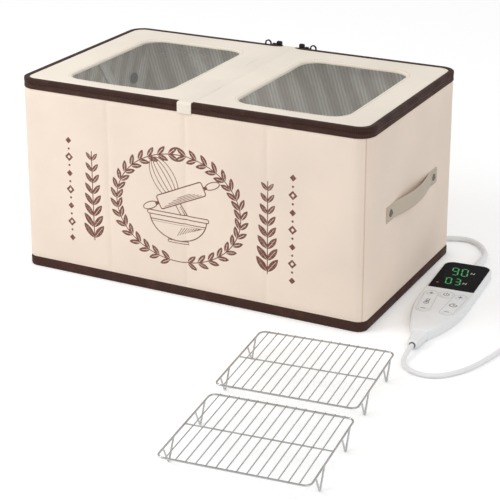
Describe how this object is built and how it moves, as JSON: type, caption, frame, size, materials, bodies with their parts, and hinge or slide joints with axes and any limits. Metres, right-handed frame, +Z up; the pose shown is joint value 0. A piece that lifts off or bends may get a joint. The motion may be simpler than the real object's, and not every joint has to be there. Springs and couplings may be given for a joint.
{
  "type": "folding dough proofer",
  "caption": "Soft-sided heated box that folds flat, with a zipped two-part windowed lid, wired temperature controller and two wire racks.",
  "frame": {"origin": "centre of the base's underside, on the surface that the box stands on", "axes": "+Z up; -Y is the front; +X towards the controller side"},
  "size_m": [0.7815, 0.7645, 0.2702],
  "materials": {
    "wall_cloth": "matt cream woven cloth over a stiffener",
    "lid_cloth": "matt pale cream woven cloth over a stiffener",
    "band_cloth": "matt pale cream woven cloth",
    "binding": "dark brown woven edge binding",
    "stiffener": "hollow board",
    "foil": "quilted aluminium foil cloth",
    "heater_wire": "silicone covered heating wire",
    "webbing": "ribbed webbing",
    "rivet": "polished",
    "window_film": "clear soft film",
    "zipper": "black gloss enamel",
    "controller_shell": "fine satin",
    "controller_button": "satin",
    "display": "gloss black lens",
    "circuit": "printed circuit board",
    "cord_jacket": "soft satin",
    "blade_metal": "bare",
    "rack_wire": "bright plated wire"
  },
  "bodies": {
    "root": {"base_binding": "binding", "base_cover": "wall_cloth", "base_boards": "stiffener", "heating_mat": "foil", "heating_wire": "heater_wire", "floor_liner": "foil", "centre_band": "band_cloth", "controller_base": "controller_shell", "controller_cover": "controller_shell", "display_lens": "display", "circuit_board": "circuit", "strain_reliefs": "cord_jacket", "heater_cord": "cord_jacket", "mains_cord": "cord_jacket", "mains_coil": "cord_jacket", "plug": "cord_jacket", "plug_blades": "blade_metal"},
    "front_1": {"front_panel_1": "wall_cloth", "front_rim_1": "binding"},
    "front_2": {"front_panel_2": "wall_cloth", "front_rim_2": "binding"},
    "front_3": {"front_panel_3": "wall_cloth", "front_rim_3": "binding"},
    "front_4": {"front_panel_4": "wall_cloth", "front_rim_4": "binding"},
    "back_1": {"back_panel_1": "wall_cloth", "back_rim_1": "binding"},
    "back_2": {"back_panel_2": "wall_cloth", "back_rim_2": "binding"},
    "back_3": {"back_panel_3": "wall_cloth", "back_rim_3": "binding"},
    "back_4": {"back_panel_4": "wall_cloth", "back_rim_4": "binding"},
    "end_left": {"left_end_panel": "wall_cloth", "left_end_rim": "binding", "left_handle": "webbing", "left_rivets": "rivet"},
    "lid_left": {"left_lid_binding": "binding", "left_lid_cover": "lid_cloth", "left_window": "window_film"},
    "slider_left": {"left_slider": "zipper"},
    "pull_left": {"left_pull": "zipper"},
    "end_right": {"right_end_panel": "wall_cloth", "right_end_rim": "binding", "right_handle": "webbing", "right_rivets": "rivet"},
    "lid_right": {"right_lid_binding": "binding", "right_lid_cover": "lid_cloth", "right_window": "window_film"},
    "slider_right": {"right_slider": "zipper"},
    "pull_right": {"right_pull": "zipper"},
    "power": {"power_button": "controller_button"},
    "temperature_up": {"temperature_up_button": "controller_button"},
    "temperature_down": {"temperature_down_button": "controller_button"},
    "time_up": {"time_up_button": "controller_button"},
    "time_down": {"time_down_button": "controller_button"},
    "front_rack": {"front_rack_grid": "rack_wire", "front_rack_legs": "rack_wire"},
    "back_rack": {"back_rack_grid": "rack_wire", "back_rack_legs": "rack_wire"}
  },
  "joints": [
    {"name": "fold", "type": "hinge", "parent": "root", "child": "front_2", "pos_m": [-0.002, -0.1452, 0], "axis": [0, 0, -1], "range_deg": [0, 88]},
    {"name": "front_fold_1", "type": "hinge", "parent": "front_2", "child": "front_1", "pos_m": [-0.11475, -0.1528, 0], "axis": [0, 0, 1], "range_deg": [0, 176]},
    {"name": "end_left_hinge", "type": "hinge", "parent": "front_1", "child": "end_left", "pos_m": [-0.2275, -0.1452, 0], "axis": [0, 0, -1], "range_deg": [0, 88]},
    {"name": "front_fold_3", "type": "hinge", "parent": "root", "child": "front_3", "pos_m": [0.002, -0.1452, 0], "axis": [0, 0, 1], "range_deg": [0, 88]},
    {"name": "front_fold_4", "type": "hinge", "parent": "front_3", "child": "front_4", "pos_m": [0.11475, -0.1528, 0], "axis": [0, 0, -1], "range_deg": [0, 176]},
    {"name": "end_right_hinge", "type": "hinge", "parent": "front_4", "child": "end_right", "pos_m": [0.2275, -0.1452, 0], "axis": [0, 0, 1], "range_deg": [0, 88]},
    {"name": "back_fold_2", "type": "hinge", "parent": "root", "child": "back_2", "pos_m": [-0.002, 0.1452, 0], "axis": [0, 0, 1], "range_deg": [0, 88]},
    {"name": "back_fold_1", "type": "hinge", "parent": "back_2", "child": "back_1", "pos_m": [-0.11475, 0.1528, 0], "axis": [0, 0, -1], "range_deg": [0, 176]},
    {"name": "back_fold_3", "type": "hinge", "parent": "root", "child": "back_3", "pos_m": [0.002, 0.1452, 0], "axis": [0, 0, -1], "range_deg": [0, 88]},
    {"name": "back_fold_4", "type": "hinge", "parent": "back_3", "child": "back_4", "pos_m": [0.11475, 0.1528, 0], "axis": [0, 0, 1], "range_deg": [0, 176]},
    {"name": "lid_left_hinge", "type": "hinge", "parent": "root", "child": "lid_left", "pos_m": [-0.00975, 0, 0.266], "axis": [0, 1, 0], "range_deg": [0, 175]},
    {"name": "lid_right_hinge", "type": "hinge", "parent": "root", "child": "lid_right", "pos_m": [0.00975, 0, 0.266], "axis": [0, 1, 0], "range_deg": [-175, 0]},
    {"name": "zip_left", "type": "slide", "parent": "root", "child": "slider_left", "axis": [-1, 0, 0], "range_m": [0, 0.19]},
    {"name": "pull_left_swing", "type": "hinge", "parent": "slider_left", "child": "pull_left", "pos_m": [-0.0264, 0.1548, 0], "axis": [0, 0, -1], "range_deg": [0, 115]},
    {"name": "zip_right", "type": "slide", "parent": "root", "child": "slider_right", "axis": [1, 0, 0], "range_m": [0, 0.19]},
    {"name": "pull_right_swing", "type": "hinge", "parent": "slider_right", "child": "pull_right", "pos_m": [0.0264, 0.1548, 0], "axis": [0, 0, 1], "range_deg": [0, 115]},
    {"name": "power_press", "type": "slide", "parent": "root", "child": "power", "axis": [0, 0, -1], "range_m": [0, 0.0006], "stiffness_N_per_m": 600, "springref_m": -0.0008},
    {"name": "temperature_up_press", "type": "slide", "parent": "root", "child": "temperature_up", "axis": [0, 0, -1], "range_m": [0, 0.0006], "stiffness_N_per_m": 600, "springref_m": -0.0008},
    {"name": "temperature_down_press", "type": "slide", "parent": "root", "child": "temperature_down", "axis": [0, 0, -1], "range_m": [0, 0.0006], "stiffness_N_per_m": 600, "springref_m": -0.0008},
    {"name": "time_up_press", "type": "slide", "parent": "root", "child": "time_up", "axis": [0, 0, -1], "range_m": [0, 0.0006], "stiffness_N_per_m": 600, "springref_m": -0.0008},
    {"name": "time_down_press", "type": "slide", "parent": "root", "child": "time_down", "axis": [0, 0, -1], "range_m": [0, 0.0006], "stiffness_N_per_m": 600, "springref_m": -0.0008},
    {"name": "front_rack_lift", "type": "slide", "parent": "root", "child": "front_rack", "axis": [0, 0, 1], "range_m": [0, 0.15]},
    {"name": "back_rack_lift", "type": "slide", "parent": "root", "child": "back_rack", "axis": [0, 0, 1], "range_m": [0, 0.15]}
  ],
  "couplings": [
    {"joint": "front_fold_1", "follows": "fold", "ratio": 2},
    {"joint": "end_left_hinge", "follows": "fold", "ratio": 1},
    {"joint": "front_fold_3", "follows": "fold", "ratio": 1},
    {"joint": "front_fold_4", "follows": "fold", "ratio": 2},
    {"joint": "end_right_hinge", "follows": "fold", "ratio": 1},
    {"joint": "back_fold_2", "follows": "fold", "ratio": 1},
    {"joint": "back_fold_1", "follows": "fold", "ratio": 2},
    {"joint": "back_fold_3", "follows": "fold", "ratio": 1},
    {"joint": "back_fold_4", "follows": "fold", "ratio": 2}
  ]
}
